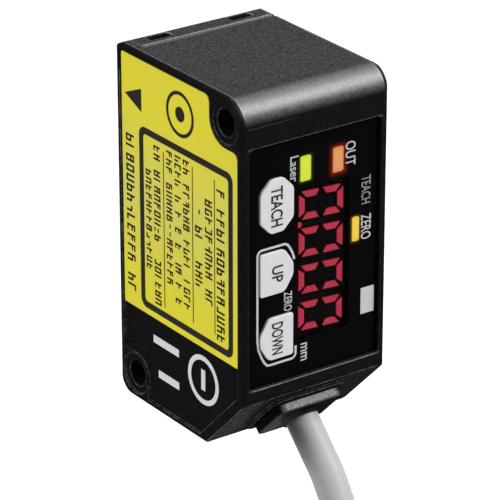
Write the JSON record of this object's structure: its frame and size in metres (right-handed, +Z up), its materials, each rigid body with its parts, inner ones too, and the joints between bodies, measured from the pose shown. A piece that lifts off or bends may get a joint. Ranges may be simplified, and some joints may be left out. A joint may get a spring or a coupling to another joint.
{
  "type": "laser photoelectric sensor",
  "caption": "Compact laser photoelectric sensor in a slim case, with an operation panel, numeric display, push keys, front window and a coiled cable from its heel.",
  "frame": {"origin": "midway between the two diagonal mounting holes, in the middle of the case's thickness", "axes": "+Z up along the case's height, +Y out of the operation panel and -Y out of the sensing window, +X out of the label side"},
  "size_m": [0.0218, 0.0649, 0.1437],
  "materials": {
    "case_black": "fine satin",
    "cover_black": "fine satin",
    "gasket_grey": "matt",
    "clear_window": "clear",
    "dark_window": "dark red, clear",
    "label_yellow": "satin film",
    "label_ink": "printed",
    "panel_black": "satin",
    "panel_ink": "printed",
    "smoked_display": "smoked",
    "key_white": "satin",
    "green_light": "lit",
    "orange_light": "lit",
    "amber_light": "lit",
    "unlit_light": "dark",
    "display_black": "matt",
    "display_red": "lit",
    "inner_black": "matt",
    "board_green": "solder mask",
    "chip_black": "matt",
    "chip_white": "matt",
    "connector_ivory": "satin",
    "flex_amber": "film",
    "screw_steel": "plated",
    "sleeve_brass": "turned",
    "diode_gold": "plated",
    "lens_clear": "clear",
    "gland_black": "satin",
    "cable_grey": "satin",
    "lead_brown": "satin",
    "lead_blue": "satin",
    "lead_black": "satin",
    "lead_pink": "satin",
    "lead_grey": "satin"
  },
  "bodies": {
    "case": {"housing": "case_black", "front_cover": "cover_black", "cover_gasket": "gasket_grey", "emitter_window": "clear_window", "receiver_window": "dark_window", "side_label": "label_yellow", "label_print": "label_ink", "operation_panel": "panel_black", "panel_print": "panel_ink", "display_window": "smoked_display", "panel_carrier": "inner_black", "laser_light": "green_light", "output_light": "orange_light", "teach_light": "unlit_light", "zero_light": "amber_light", "display_module": "display_black", "display_bars": "display_red", "display_board": "board_green", "key_switches": "screw_steel", "indicator_chips": "chip_white", "main_board": "board_green", "main_board_chips": "chip_black", "board_connector": "connector_ivory", "board_flexes": "flex_amber", "cable_connector": "connector_ivory", "board_screws": "screw_steel", "optical_block": "inner_black", "diode_sleeve": "sleeve_brass", "collimator_lens": "lens_clear", "laser_diode": "diode_gold", "laser_board": "board_green", "lens_holder": "inner_black", "receiver_lens": "lens_clear", "image_sensor": "chip_black", "sensor_board": "board_green", "block_screws": "screw_steel", "cable_gland": "gland_black", "cable_inlet": "cable_grey", "cable_clamp": "screw_steel", "inner_leads": "lead_grey", "cable": "cable_grey", "cable_coil": "cable_grey", "coil_tie": "gland_black", "cable_tail": "cable_grey", "brown_lead": "lead_brown", "blue_lead": "lead_blue", "black_lead": "lead_black", "pink_lead": "lead_pink", "grey_lead": "lead_grey"},
    "teach_button": {"teach_key": "key_white"},
    "up_button": {"up_key": "key_white"},
    "down_button": {"down_key": "key_white"}
  },
  "joints": [
    {"name": "teach_press", "type": "slide", "parent": "case", "child": "teach_button", "axis": [0, -1, 0], "range_m": [0, 0.0003], "stiffness_N_per_m": 600, "springref_m": -0.001},
    {"name": "up_press", "type": "slide", "parent": "case", "child": "up_button", "axis": [0, -1, 0], "range_m": [0, 0.0003], "stiffness_N_per_m": 600, "springref_m": -0.001},
    {"name": "down_press", "type": "slide", "parent": "case", "child": "down_button", "axis": [0, -1, 0], "range_m": [0, 0.0003], "stiffness_N_per_m": 600, "springref_m": -0.001}
  ]
}
